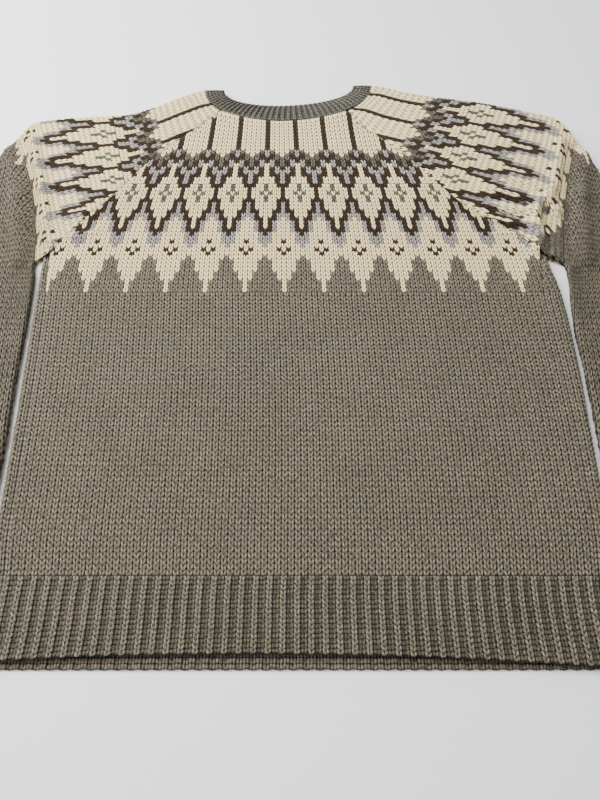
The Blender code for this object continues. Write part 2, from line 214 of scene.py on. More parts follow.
# Folds of the upper layer: start x, y, end x, y, half width, height
FOLDS = (
    (-268.0, 90.0, -270.0, 380.0, 22.0, 1.6),
    (268.0, 90.0, 268.0, 380.0, 24.0, 1.9),
    (-262.0, 440.0, -150.0, 585.0, 16.0, 0.7),
    (250.0, 440.0, 110.0, 585.0, 16.0, 0.8),
    (-285.0, 402.0, -302.0, 490.0, 5.5, -3.4),
    (-302.0, 490.0, -331.0, 570.0, 5.0, -3.2),
    (-301.0, 398.0, -318.0, 486.0, 9.0, 6.0),
    (-318.0, 486.0, -344.0, 556.0, 8.5, 5.2),
    (-276.0, 424.0, -291.0, 500.0, 6.0, 4.0),
    (-291.0, 500.0, -319.0, 576.0, 6.0, 4.4),
    (-292.0, 500.0, -255.0, 506.0, 9.0, 3.2),
    (-285.0, 450.0, -232.0, 463.0, 7.0, 3.4),
    (-274.0, 422.0, -222.0, 438.0, 5.0, 2.6),
    (-310.0, 540.0, -278.0, 550.0, 8.0, 2.8),
    (285.0, 402.0, 299.0, 490.0, 7.0, -6.0),
    (299.0, 490.0, 322.0, 566.0, 5.0, -3.4),
    (304.0, 398.0, 316.0, 486.0, 9.5, 7.0),
    (316.0, 486.0, 335.0, 552.0, 8.5, 5.8),
    (288.0, 500.0, 310.0, 574.0, 6.0, 4.6),
    (273.0, 466.0, 277.0, 428.0, 6.5, -8.0),
    (258.5, 418.0, 261.0, 464.0, 6.5, 7.6),
    (263.0, 468.0, 277.0, 485.0, 7.0, 9.0),
    (277.0, 485.0, 289.0, 466.0, 6.0, 8.0),
    (258.0, 466.0, 205.0, 474.0, 6.0, 3.2),
    (256.0, 446.0, 210.0, 454.0, 4.5, 2.6),
    (254.0, 430.0, 216.0, 436.0, 4.0, 2.2),
    (262.0, 486.0, 210.0, 500.0, 6.0, 2.8),
    (286.0, 500.0, 246.0, 520.0, 8.0, 2.8),
    (258.0, 456.0, 222.0, 464.0, 3.0, -2.2),
    (262.0, 476.0, 218.0, 486.0, 3.0, -2.0),
    (-120.0, 60.0, 130.0, 40.0, 30.0, 0.8),
    (-200.0, 350.0, 190.0, 335.0, 60.0, 0.7),
)

# Sleeves, neckband and hem
TUCK_ROW = 7.5              # row of a sleeve at the first entry of its table, where it bends in a deep tuck
TUCK_BOW = (-9.0, -5.0)     # bow of that row on the left and right sleeve
TUCK_SQUEEZE = 0.012        # share of their height that rows inside the tuck keep
TUCK_LEVELS = 241           # grid on which the tuck is worked out: rows, and shares of the way across
TUCK_SHARES = 33
FOLD_WEIGHT = 0.8           # rows of a sleeve are counted this much along its fold, the rest along its seam
FOLD_BACK = 5.0             # the height of a fold is taken this far in from it
CAP_ROWS = (11.4, 14.4)     # rows of a sleeve at its two lowest raglan stations
FOLD_SHIFT = (0.38, 0.08)   # how far below the fold the pattern's middle lies, in repeats, on each sleeve
BACK_PLAIN = (3.5, 4.5, 12)  # plain stitches at the back's left and right edge, and the row they reach to
POCKET_ROW = 12.5           # highest row of the plain cloth in the hollow under the right arm
POCKET_TAPER = 2.2          # stitches by which it widens with each row below
FOLD_REACH = 4.5            # how far a sleeve's fold stands out past the top of the neck
NECK_BOW = (5.2, 7.0)       # bow of the last row of each sleeve, along the neckband
NECK_STITCHES = 178         # round the neckband
NECK_ROWS = 6
BAND_PUFF = 1.4             # how far the neckband swells between its edges
RIB_STITCHES = 86           # across the front
RIB_ROWS = 16
RIB_LAP = 0.3               # how far a hem's rib reaches under the knitting above it

# Width of the yoke's repeat: row, width
REPEAT_ROWS = ((0.0, 41.4), (8.0, 41.0), (17.0, 39.8), (26.0, 38.0), (35.0, 35.4), (43.0, 33.4),
               (47.0, 32.6))

# The yoke, row by row from the leaf tips to the diamonds: eight stitches, the leaf's middle at the fifth
WIDE_CHART = (
    "MMMMCMMM", "MMMMCMMM", "MMMMCMMM", "MMMCCCMM", "MMMCCCMM", "MMCCCCCM", "MMCCCCCM", "MMCCCCCM",
    "MCCCCCCC", "CCCCBCCC", "CCCBCBCC", "LCCCCCCC", "LLCCBCCL", "LLCCCCCL", "BLCCCCCL", "BBLCCCLB",
    "CBLCCCLB", "CBLCCCLB", "CBBLCLBB", "CCBLLLBC", "CCBBLBBC", "CCCBLBCC", "CCCBLBCC", "GCCBBBCC",
    "GCCCBCCC", "CGCCBCCG", "GCCCBCCC", "GCCBBBCC",
)

# From the diamonds' points to the neck: six stitches, the stripe at the first
NARROW_CHART = (
    "CCBLBC", "CCBLBC", "CBBLBB", "CBLLLB", "CBLDLB", "CLBGBL", "BLBGBL", "BBGGGB", "LBGCGB", "LGCCCG",
    "BCCCCC", "BCCCCC", "BCCCCC", "BCCCCC", "BCCCCC", "BCCCCC", "BCCCCC", "BCCCCC", "BCCCCC",
)

# The yarn's shader
BODY_MARL = 0.75            # how strongly the tone of the yarn varies
RIB_MARL = 0.8
PLIES_ALONG = 15.0          # slant of the plies, in radians to a stitch
PLIES_ACROSS = 52.0
FIBRE_SCALE = 1500.0        # fibres and slow changes of tone, to the metre
DRIFT_SCALE = 26.0
FLECKS = (5.0, 1.6, 3.0)    # flecks across and along a stitch, and the step between its legs
FLECK_TONE = 1.1            # how far each of them changes the tone
FIBRE_TONE = 0.55
DRIFT_TONE = 0.12
DARKEST_FLECK = 0.25
MIDDLE_LIGHT = 0.8          # painted light and shade: the groove in the middle of a stitch is painted lighter than the one beside it, the rows' joins are painted in shade and the crests painted light
PINCH_SHADE = 0.75
CREST_LIGHT = 1.3
STRAND_HEIGHT = 0.55
PINCH_DEPTH = 0.35
PLY_HEIGHT = 0.3
FIBRE_HEIGHT = 0.75

# The stage, in metres
FLOOR_SIZE = 6.0
FLOOR_COLOUR = (0.92, 0.92, 0.905, 1.0)
FLOOR_ROUGHNESS = 0.6
SKY_COLOUR = (0.95, 0.97, 1.0, 1.0)
SKY_STRENGTH = 0.66
WINDOW_SIZE = (1.6, 1.0)
WINDOW_PLACE = (-0.95, 0.45, 1.05)
WINDOW_TILT = (math.radians(-17.6), math.radians(-42.0), 0.0)
CAMERA_PLACE = (0.0, -0.3085, 0.530)
CAMERA_TILT = math.radians(25.0)        # from straight down towards the neck
CAMERA_LENS = 27.18
CAMERA_NEAR = 0.01


def smooth(at, xs, ys):
    """Cubic curve through the table ys over rising xs."""
    xs = np.asarray(xs, float)
    ys = np.asarray(ys, float)
    slope = np.gradient(ys, xs)
    at = np.clip(np.asarray(at, float), xs[0], xs[-1])
    i = np.clip(np.searchsorted(xs, at, side="right") - 1, 0, len(xs) - 2)
    step = xs[i + 1] - xs[i]
    u = (at - xs[i]) / step
    return ((2 * u ** 3 - 3 * u ** 2 + 1) * ys[i] + (u ** 3 - 2 * u ** 2 + u) * step * slope[i]
            + (3 * u ** 2 - 2 * u ** 3) * ys[i + 1] + (u ** 3 - u ** 2) * step * slope[i + 1])


def column(table, i):
    """One column of a table."""
    return [row[i] for row in table]


def upper_z(x, y):
    """Middle of the upper layer."""
    x = np.asarray(x, float)
    y = np.asarray(y, float)
    lift = np.zeros(np.broadcast(x, y).shape)
    for start_x, start_y, end_x, end_y, half_width, height in FOLDS:
        run_x = end_x - start_x
        run_y = end_y - start_y
        along = ((x - start_x) * run_x + (y - start_y) * run_y) / (run_x ** 2 + run_y ** 2)
        along = np.clip(along, 0.0, 1.0)
        away = np.hypot(x - start_x - along * run_x, y - start_y - along * run_y)
        lift += height * np.exp(-(away / half_width) ** 2)
    one = np.sin(x / RIPPLE_ONE[0] + y / RIPPLE_ONE[1])
    two = np.sin(y / RIPPLE_TWO[1] - x / RIPPLE_TWO[0])
    lift += RIPPLE * one * two
    lift = np.where(lift > 0, FOLD_CEILING * np.tanh(lift / FOLD_CEILING), lift)
    return np.maximum(UPPER_Z + lift, LOWEST_UPPER_Z)


def roll_radius(x, y):
    """Radius of the middle of the wall where the upper layer turns into the lower one."""
    return (upper_z(x, y) - LOWER_Z) / 2


def body_column(i, y):
    """A column of the body's table at y."""
    return smooth(y, column(BODY_ROWS, 0), column(BODY_ROWS, i))


def seam_x(y, side):
    """x of the front's edge at y: the side seam, then the raglan seam."""
    y = np.asarray(y, float)
    side_seam = body_column(1 if side < 0 else 2, y) - side * body_column(3 if side < 0 else 4, y)
    xs = column(RAGLAN_ROWS, 0) + [neck_point(raglan_top(side))[1]]
    ys = column(RAGLAN_ROWS, 1 if side < 0 else 2) + [neck_point(raglan_top(side))[0]]
    return np.where(y < UNDERARM_Y, side_seam, smooth(y, xs, ys))


def raglan_top(side):
    """Where a raglan seam meets the neckband."""
    return RAGLAN_TOP_LEFT if side < 0 else RAGLAN_TOP_RIGHT


def neck_point(angle, inset=0.0):
    """The seam of the neckband; angle pi is left and 2 pi right."""
    x = NECK_X + (NECK_HALF_WIDTH - inset) * np.cos(angle)
    y = NECK_TOP_Y + NECK_TILT * np.cos(angle) + (NECK_DROP - inset) * np.sin(angle)
    return x, y


def row_middle_y(k):
    """y of a row of the yoke at the pattern's middle."""
    return YOKE_Y + YOKE_ROW * np.asarray(k, float)


def row_side_y(k):
    """y of the same row at the raglan seams."""
    k = np.asarray(k, float)
    bend_y = row_middle_y(STRAIGHT_ROW)
    above = bend_y + (k - STRAIGHT_ROW) / (YOKE_ROWS - STRAIGHT_ROW) * (TOP_SIDE_Y - bend_y)
    return np.where(k < STRAIGHT_ROW, row_middle_y(k), above)


def side_row(y):
    """Row whose end lies at y on a raglan seam."""
    bend_y = row_middle_y(STRAIGHT_ROW)
    above = STRAIGHT_ROW + (y - bend_y) / (TOP_SIDE_Y - bend_y) * (YOKE_ROWS - STRAIGHT_ROW)
    return np.where(y < bend_y, (y - YOKE_Y) / YOKE_ROW, above)


def repeat_width(k):
    """Width of the pattern's repeat on row k."""
    return smooth(k, column(REPEAT_ROWS, 0), column(REPEAT_ROWS, 1))


def pattern_x(k):
    """x of the pattern's middle."""
    return PATTERN_X - PATTERN_DRIFT * np.asarray(k, float)


def yoke_colour(stitches):
    """Colour letters, at stitch and row indices, of the part of the yoke with that many in a repeat."""
    chart, first = (NARROW_CHART, WIDE_ROWS) if stitches == NARROW_REPEAT else (WIDE_CHART, 0)
    letters = np.array([list(row) for row in chart])

    def letter(stitch, row):
        return letters[np.clip(row - first, 0, len(chart) - 1), (stitch + stitches // 2) % stitches]
    return letter


def plain_colour(stitch, row):
    """The same for plain knitting."""
    return np.full(np.shape(stitch), "M")


# ---------------------------------------------------------------- where each face of a piece lies

def frontal(x, y):
    """Points on top of the upper layer, and their way out."""
    z = upper_z(x, y) + WALL / 2
    out = np.zeros(x.shape + (3,))
    out[..., 2] = 1.0
    return np.stack([x, y, z], -1), out


def front_plain(s, t):
    """The front below the yoke."""
    y = HEM_DEPTH + (YOKE_Y - HEM_DEPTH) * t / PLAIN_ROWS
    left = seam_x(y, -1)
    x = left + (seam_x(y, 1) - left) * s / PLAIN_STITCHES
    return frontal(x, y)


def yoke_plan(x, k):
    """y of the point at x on row k of the front or back."""
    middle = pattern_x(k)
    side_y = row_side_y(k)
    left = seam_x(side_y, -1)
    right = seam_x(side_y, 1)
    share = np.where(x < middle, (x - middle) / (left - middle), (x - middle) / (right - middle))
    return row_middle_y(k) + (side_y - row_middle_y(k)) * np.minimum(share, YOKE_BEND) ** 2


def yoke_limits(stitches, edge):
    """Where the yoke's rows end, s counting from the pattern's middle. edge gives x at y and a side."""
    def limits(t):
        y = row_side_y(t)
        scale = stitches / repeat_width(t)
        return tuple((edge(y, side) - pattern_x(t)) * scale + 0.5 for side in (-1, 1))
    return limits


def front_yoke(stitches):
    """The front's yoke with that many stitches in a repeat."""
    def place(s, t):
        x = pattern_x(t) + (s - 0.5) / stitches * repeat_width(t)
        return frontal(x, yoke_plan(x, t))
    return place, yoke_limits(stitches, seam_x)


def back_path(sigma, y):
    """The back's outer face: flat beneath, round the rolls, onto the upper layer.

    sigma is the length of cloth from x = 0.
    """
    side = np.where(sigma < 0, -1.0, 1.0)
    edge = np.where(sigma < 0, body_column(1, y), body_column(2, y))
    radius = roll_radius(edge, y)
    turn = np.abs(edge) - radius - WALL / 2
    beyond = np.abs(sigma) - turn
    angle = np.clip(beyond / radius, 0.0, math.pi)
    outer = radius + WALL / 2
    over = np.maximum(beyond - math.pi * radius, 0.0)
    flat_x = np.minimum(np.abs(sigma), turn)
    x = side * (flat_x + outer * np.sin(angle) - over)
    top = upper_z(x, y) + WALL / 2
    z = np.where(beyond <= 0, 0.0, outer - outer * np.cos(angle))
    z = np.where(over > 0, top, z)
    out = np.stack([side * np.sin(angle), np.zeros_like(x), -np.cos(angle)], -1)
    return np.stack([x, y, z], -1), out


def back_limit(y, side):
    """Length from x = 0 to the back's edge: its side seam on top, then the raglan seam beneath."""
    edge = body_column(1 if side < 0 else 2, y)
    radius = roll_radius(edge, y)
    turn = np.abs(edge) - radius - WALL / 2
    wrap = body_column(3 if side < 0 else 4, y) - radius - WALL / 2
    round_top = turn + math.pi * radius + wrap
    share = np.clip((y - UNDERARM_Y) / (CLOSE_Y - UNDERARM_Y), 0.0, 1.0)
    beneath = np.abs(seam_x(np.maximum(y, UNDERARM_Y + 0.01), side))
    return side * (round_top + (beneath - round_top) * share)


def back_plain(s, t):
    """The back below the yoke."""
    y = HEM_DEPTH + (YOKE_Y - HEM_DEPTH) * t / PLAIN_ROWS
    low = back_limit(y, -1)
    high = back_limit(y, 1)
    return back_path(low + (high - low) * s / BACK_STITCHES, y)


def back_yoke(stitches):
    """The back's yoke with that many stitches in a repeat."""
    def place(s, t):
        sigma = pattern_x(t) + (s - 0.5) / stitches * repeat_width(t)
        return back_path(sigma, yoke_plan(sigma, t))
    return place, yoke_limits(stitches, back_limit)


def of_side(pair, side):
    """The left or the right one of a pair."""
    return pair[0 if side < 0 else 1]


def sleeve_table(side):
    """Rows of a sleeve: number, inner edge, outer edge, one where the cloth is a tube, bow of the row."""
    table = of_side((LEFT_SLEEVE, RIGHT_SLEEVE), side)
    folds = of_side((LEFT_FOLD, RIGHT_FOLD), side)
    rows = [(TUCK_ROW, *table[0], 1.0, of_side(TUCK_BOW, side))]
    for edge in table[1:]:
        last = rows[-1]
        step = FOLD_WEIGHT * math.hypot(last[3] - edge[2], last[4] - edge[3])
        step += (1.0 - FOLD_WEIGHT) * math.hypot(last[1] - edge[0], last[2] - edge[1])
        rows.append((last[0] - step / SLEEVE_ROW, *edge, 1.0, 0.0))
    for i, ((y, left, right), fold) in enumerate(list(zip(RAGLAN_ROWS, folds))[1:]):
        k = CAP_ROWS[i] if i < len(CAP_ROWS) else float(side_row(y))
        rows.append((k, of_side((left, right), side), y, *fold, 0.0, 0.0))
    end = neck_point(raglan_top(side), -SEAM_GAP)
    tip = neck_point(of_side((math.pi, 2 * math.pi), side), -SEAM_GAP)
    rows.append((YOKE_ROWS, *end, tip[0], tip[1] + FOLD_REACH, 0.0, of_side(NECK_BOW, side)))
    return sorted(rows)


def cuff_table(side):
    """The same for a cuff, its first row at the edge."""
    inner_x, y, outer_x, _ = of_side((LEFT_SLEEVE, RIGHT_SLEEVE), side)[-1]
    rows = []
    for share, pull in CUFF_SHAPE:
        row_y = y - SEAM_GAP - CUFF_DEPTH * (1 - share)
        rows.append((CUFF_ROWS * share, inner_x + side * CUFF_DRAW[0] * pull, row_y,
                     outer_x - side * CUFF_DRAW[1] * pull, row_y, 1.0, 0.0))
    return rows


class Tube:
    """A flattened sleeve or cuff. Rows of its table count from the wrist to the neck."""

    def __init__(self, side, table):
        self.side = side
        rows = []
        for k, inner_x, inner_y, outer_x, outer_y, closed, bow in table:
            if closed:
                length = math.hypot(outer_x - inner_x, outer_y - inner_y)
                reach = (float(roll_radius(inner_x, inner_y)) + WALL / 2) / length
                inner_x += (outer_x - inner_x) * reach
                inner_y += (outer_y - inner_y) * reach
            rows.append((k, inner_x, inner_y, outer_x, outer_y, closed, bow))
        self.rows = np.array(rows)
        self.bottom = self.rows[0, 0]
        self.first_row = math.ceil(self.bottom)
        self.tuck = None

    def make_tuck(self, row):
        """Below row, lays the rows straight across the sleeve; what that leaves over is hidden in a tuck."""
        ts = np.linspace(self.bottom, row, TUCK_LEVELS)
        shares = np.linspace(0.0, 1.0, TUCK_SHARES)
        inner_y, outer_y = self.at(ts, 2), self.at(ts, 4)
        grid = []
        for share in shares:
            y = outer_y + (inner_y - outer_y) * share
            straight = np.interp(outer_y, np.maximum.accumulate(y), ts)
            grid.append(np.minimum(straight, row - TUCK_SQUEEZE * (row - ts)))
        self.tuck = (row, shares, ts, np.array(grid))

    def station(self, share, t):
        """The row of the table that carries row t at a share of the way from the fold to the seam."""
        if self.tuck is None:
            return t
        row, shares, ts, grid = self.tuck
        share = np.clip(np.asarray(share, float), 0.0, 1.0) * (len(shares) - 1)
        level = np.clip((np.asarray(t, float) - ts[0]) / (ts[-1] - ts[0]), 0.0, 1.0) * (len(ts) - 1)
        i = np.minimum(share.astype(int), len(shares) - 2)
        j = np.minimum(level.astype(int), len(ts) - 2)
        u, v = share - i, level - j
        found = ((grid[i, j] * (1 - u) + grid[i + 1, j] * u) * (1 - v)
                 + (grid[i, j + 1] * (1 - u) + grid[i + 1, j + 1] * u) * v)
        return np.where(t < row, found, t)

    def half_row(self, t):
        """Half the cloth's width along row t."""
        return self.half(self.station(1.0, t))

    def at(self, k, i):
        """A column of the table at row k."""
        return smooth(k, self.rows[:, 0], self.rows[:, i])

    def section(self, k):
        """What shapes row k.

        Its turning points, inner and outer, the way out from one to the other, the radii of the outer and
        the inner roll, the length between them, 1 where the cloth is a tube, and the row's bow.
        """
        inner = np.stack([self.at(k, 1), self.at(k, 2)], -1)
        fold = np.stack([self.at(k, 3), self.at(k, 4)], -1)
        way = fold - inner
        way /= np.linalg.norm(way, axis=-1, keepdims=True)
        radius = roll_radius(fold[..., 0] - way[..., 0] * FOLD_BACK, fold[..., 1] - way[..., 1] * FOLD_BACK)
        outer = fold - (radius + WALL / 2)[..., None] * way
        length = np.linalg.norm(outer - inner, axis=-1)
        tube = np.clip(np.interp(k, self.rows[:, 0], self.rows[:, 5]), 0.0, 1.0)
        inner_radius = roll_radius(inner[..., 0], inner[..., 1])
        return inner, outer, way, radius, inner_radius, length, tube, self.at(k, 6)

    def half(self, k):
        """Length of the cloth from the fold to the seam."""
        _, _, _, radius, inner_radius, length, tube, _ = self.section(k)
        return math.pi / 2 * radius + length + tube * math.pi / 2 * inner_radius

    def path(self, sigma, k):
        """The sleeve's outer face; sigma is the length from the fold, above it on the upper layer."""
        inner, outer, way, radius, inner_radius, length, tube, bow = self.section(k)
        sign = np.where(sigma < 0, -1.0, 1.0)
        size = np.abs(sigma)
        quarter = math.pi / 2 * radius
        angle = np.clip(size / radius, 0.0, math.pi / 2)
        across = np.clip(size - quarter, 0.0, length)
        inner_angle = np.clip((size - quarter - length) / inner_radius, 0.0, math.pi / 2)
        out_radius = radius + WALL / 2
        in_radius = inner_radius + WALL / 2
        on_fold = size <= quarter
        on_roll = size > quarter + length
        share = across / length
        bend = bow * 4 * share * (1 - share) * self.side
        aside = np.stack([way[..., 1], -way[..., 0]], -1) * bend[..., None]
        plan = outer - way * across[..., None] + aside
        plan = np.where(on_fold[..., None], outer + way * (out_radius * np.cos(angle))[..., None], plan)
        plan = np.where(on_roll[..., None], inner - way * (in_radius * np.sin(inner_angle))[..., None], plan)
        top = upper_z(plan[..., 0], plan[..., 1]) + WALL / 2
        flat = np.where(sign > 0, top, 0.0)
        z = np.where(on_fold, out_radius + sign * out_radius * np.sin(angle), flat)
        z = np.where(on_roll, in_radius + sign * in_radius * np.cos(inner_angle), z)
        level = np.where(on_fold, np.cos(angle), np.where(on_roll, -np.sin(inner_angle), 0.0))
        up = np.where(on_fold, np.sin(angle), np.where(on_roll, np.cos(inner_angle), 1.0)) * sign
        normal = np.concatenate([way * level[..., None], up[..., None]], -1)
        return np.concatenate([plan, z[..., None]], -1), normal

    def drift(self, t):
        """How far the columns move away from the fold below the tuck, where they run straight down."""
        if self.tuck is None:
            return 0.0
        start = self.at(self.tuck[0], 3)
        return np.where(np.asarray(t) < self.tuck[0], np.abs(self.at(t, 3)) - abs(float(start)), 0.0)

    def knit(self, width, shift):
        """Place, limits and squeeze for stitches of that width, a function of the row, shifted along it.

        The squeeze is how much of their height the rows keep.
        """
        def sigma(s, t):
            return (s - 0.5 + shift) * width(t) + self.drift(t)

        def place(s, t):
            return self.path(sigma(s, t), self.station(np.abs(sigma(s, t)) / self.half_row(t), t))

        def limits(t):
            half = self.half_row(t)
            return tuple(0.5 - shift + (end - self.drift(t)) / width(t) for end in (-half, half))

        def squeeze(s, t):
            share = np.abs(sigma(s, t)) / self.half_row(t)
            step = 0.25
            return (self.station(share, t + step) - self.station(share, t - step)) / (2 * step)
        return dict(place=place, limits=limits, squeeze=squeeze)


# ---------------------------------------------------------------- knitted meshes

class Cloth:
    """Collects the points and faces of one piece."""

    def __init__(self, palette, seed):
        self.palette = palette
        self.random = np.random.default_rng(seed)
        self.points = []
        self.maps = []
        self.count = 0
        self.loops = []
        self.sizes = []
        self.colours = []

    def add_points(self, points, maps):
        """Points with their stitch and row. Returns their numbers."""
        start = self.count
        self.points.append(points)
        self.maps.append(maps)
        self.count += len(points)
        return np.arange(start, self.count)

    def add_faces(self, faces, colours):
        """Faces as rows of point numbers, all of one size, with a colour for each."""
        faces = np.asarray(faces)
        if not len(faces):
            return
        self.loops.append(faces.ravel())
        self.sizes.append(np.full(len(faces), faces.shape[1]))
        colours = np.asarray(colours, float).reshape(len(faces), 3)
        self.colours.append(np.repeat(colours, faces.shape[1], axis=0))

    def letters_to_colours(self, letters):
        """The yarn's colour for each letter of a chart."""
        return np.array([self.palette[letter] for letter in np.atleast_1d(letters)])

    def zip_lines(self, first, second, colour, reverse=False):
        """Triangles between two lines of points that run side by side, the second on the first's left."""
        points = np.concatenate(self.points)
        shares = []
        for line in (first, second):
            steps = np.linalg.norm(np.diff(points[line], axis=0), axis=1)
            length = np.concatenate([[0.0], np.cumsum(steps)])
            shares.append(length / max(length[-1], 1e-9))
        i = j = 0
        faces = []
        while i < len(first) - 1 or j < len(second) - 1:
            if j == len(second) - 1 or (i < len(first) - 1 and shares[0][i + 1] <= shares[1][j + 1]):
                faces.append((first[i], first[i + 1], second[j]))
                i += 1
            else:
                faces.append((first[i], second[j + 1], second[j]))
                j += 1
        faces = np.array(faces)
        if reverse:
            faces = faces[:, ::-1]
        self.add_faces(faces, np.tile(colour, (len(faces), 1)))

    def object(self, name):
        """The finished piece, with the map "stitches" and the colours "yarn"."""
        points = np.concatenate(self.points) * MM
        points[:, 1] -= ORIGIN_Y * MM
        loops = np.concatenate(self.loops)
        sizes = np.concatenate(self.sizes)
        mesh = bpy.data.meshes.new(name)
        mesh.vertices.add(len(points))
        mesh.vertices.foreach_set("co", points.ravel())
        mesh.loops.add(len(loops))
        mesh.loops.foreach_set("vertex_index", loops.astype(np.int32))
        mesh.polygons.add(len(sizes))
        starts = np.concatenate([[0], np.cumsum(sizes)[:-1]])
        mesh.polygons.foreach_set("loop_start", starts.astype(np.int32))
        mesh.polygons.foreach_set("loop_total", sizes.astype(np.int32))
        mesh.update(calc_edges=True)
        stitches = mesh.uv_layers.new(name="stitches")
        stitches.data.foreach_set("uv", np.concatenate(self.maps)[loops].astype(np.float32).ravel())
        yarn = mesh.color_attributes.new("yarn", "FLOAT_COLOR", "CORNER")
        colours = np.concatenate(self.colours)
        colours = np.concatenate([colours, np.ones((len(colours), 1))], axis=1)
        yarn.data.foreach_set("color", colours.astype(np.float32).ravel())
        mesh.shade_smooth()
        mesh.validate()
        piece = bpy.data.objects.new(name, mesh)
        bpy.context.collection.objects.link(piece)
        return piece


def stitch_relief(s, t):
    """Height of plain knitting under its highest point, in millimetres, at mesh columns and rows."""
    a = np.mod(s, 1.0)
    b = np.mod(t, 1.0)
    leg = 0.5 - 0.5 * np.cos(4 * math.pi * a)
    middle = np.abs(a - 0.5) < MIDDLE_REACH
    valley = np.where(middle, MIDDLE_GROOVE, WALE_GROOVE) * (1.0 - leg)
    return -valley - ROW_GROOVE * np.abs(np.cos(math.pi * b))


def rib_relief(s, t):
    """The same for one by one rib: knit columns stand up, purl ones lie deep with small bars."""
    knit = np.mod(np.floor(s + TINY), 2) == 0
    a = np.mod(s, 1.0)
    b = np.mod(t, 1.0)
    leg = 0.5 - 0.5 * np.cos(4 * math.pi * a)
    edge = (np.abs(a) < 0.01) | (np.abs(a) > 0.99)
    knit_z = -MIDDLE_GROOVE * (1.0 - leg) - ROW_GROOVE / 2 * np.abs(np.cos(math.pi * b))
    purl_z = -RIB_GROOVE - ROW_GROOVE / 2 * np.abs(np.sin(math.pi * b))
    return np.where(edge, -RIB_WALL * RIB_GROOVE, np.where(knit, knit_z, purl_z))


def seat_rib(height, t, first, last, seam_last):
    """A rib's heights, drawn down towards its seam, on the last row or the first, and its free edge."""
    seam, edge = (last, first) if seam_last else (first, last)
    height = height + (-RIB_SEAM_DEPTH - height) * max(0.0, 1.0 - abs(t - seam) / RIB_SEAM_ROWS)
    return height + (-RIB_EDGE_DEPTH - height) * RIB_EDGE_SHARE * max(0.0, 1.0 - abs(t - edge))


def knit_line(cloth, jitter, t, place, limits, first, last, relief, rib, seam_last, squeeze):
    """Adds one mesh row. Returns its points and the first and the last mesh column between its ends."""
    low, high = (float(v) for v in limits(np.array(t)))
    start = math.ceil((low + EDGE_MARGIN) * ACROSS)
    end = math.floor((high - EDGE_MARGIN) * ACROSS)
    s = np.concatenate([[low], np.arange(start, end + 1) / ACROSS, [high]])
    fade = min(1.0, 2.0 * min(t - first, last - t))
    rise = CHEVRON * np.abs(2 * np.mod(s, 1.0) - 1) - CHEVRON / 2
    if rib:
        rise = np.where(np.mod(np.floor(s + TINY), 2) == 0, rise, 0.0)
    rise[0] = rise[-1] = 0.0
    at = np.clip(t + rise * fade, first, last)
    placed = np.clip(s, *limits(at))
    points, out = place(placed, at)
    middle = len(points) // 2
    width = np.linalg.norm(points[middle] - points[middle + 1]) * ACROSS
    height = relief(s, np.full_like(s, t))
    height[0] = height[-1] = -END_DEPTH
    if t in (first, last):
        height = np.full_like(height, -RIB_JOIN_DEPTH if rib else -JOIN_DEPTH)
    if squeeze is not None:
        kept = np.clip(squeeze(placed, at) * TUCK_EASE, 0.0, 1.0)
        height = height * kept - TUCK_DEPTH * (1 - kept)
    for gap in ((placed - low) * width, (high - placed) * width):
        height = height - SEAM_SINK * np.exp(-(gap / SEAM_REACH) ** 2)
    if rib:
        height = seat_rib(height, t, first, last, seam_last)
    wobble = jitter[(np.floor(s).astype(int) * WOBBLE_STEPS[0] + int(t) * WOBBLE_STEPS[1]) % WOBBLES]
    height = np.minimum(height + WOBBLE * wobble[:, 0] * fade, 0.0)
    maps = np.stack([s, np.full_like(s, t)], -1)
    return cloth.add_points(points + out * height[:, None], maps), start, end


def knit_rows(cloth, place, limits, first, last, colour, relief=stitch_relief, flip=False, rib=False,
              seam_last=True, squeeze=None):
    """Adds stitches from row first to row last. Returns the mesh rows as lists of points, low to high.

    place gives points and ways out for s and t, limits where a row starts and ends, squeeze how much of
    their height the rows keep, and colour the letter of a stitch.
    """
    count = int(round((last - first) * ALONG))
    levels = np.linspace(first, last, count + 1)
    jitter = cloth.random.normal(0.0, 1.0, (WOBBLES, 2))
    lines = [knit_line(cloth, jitter, t, place, limits, first, last, relief, rib, seam_last, squeeze)
             for t in levels]
    for t, (lower, low_start, low_end), (upper, up_start, up_end) in zip(levels, lines, lines[1:]):
        row = int(math.floor(t + TINY))
        start = max(low_start, up_start)
        end = min(low_end, up_end)
        c = np.arange(start, end)
        below = 1 + c - low_start
        above = 1 + c - up_start
        faces = np.stack([lower[below], lower[below + 1], upper[above + 1], upper[above]], -1)
        if flip:
            faces = faces[:, ::-1]
        stitch = np.floor((c + 0.5) / ACROSS).astype(int)
        cloth.add_faces(faces, cloth.letters_to_colours(colour(stitch, np.full_like(stitch, row))))
        left = np.concatenate([lower[:start - low_start + 2], upper[:start - up_start + 2][::-1]])
        right = np.concatenate([lower[1 + end - low_start:], upper[1 + end - up_start:][::-1]])
        for ring, edge_stitch in ((left, start // ACROSS), (right, end // ACROSS)):
            if flip:
                ring = ring[::-1]
            shade = cloth.letters_to_colours(colour(np.array([edge_stitch]), np.array([row])))
            cloth.add_faces(ring[None, :], shade)
    return [line[0] for line in lines]


def inner_face(cloth, sections, flip, colour):
    """The cloth's inner side as a coarse grid. sections are rows of points, ways out, maps and relief."""
    lines = []
    for points, out, maps, thin in sections:
        lines.append(cloth.add_points(points - out * (WALL - THINNER - thin)[:, None], maps))
    for lower, upper in zip(lines, lines[1:]):
        faces = np.stack([lower[:-1], upper[:-1], upper[1:], lower[1:]], -1)
        if flip:
            faces = faces[:, ::-1]
        cloth.add_faces(faces, np.tile(colour, (len(faces), 1)))
    return lines


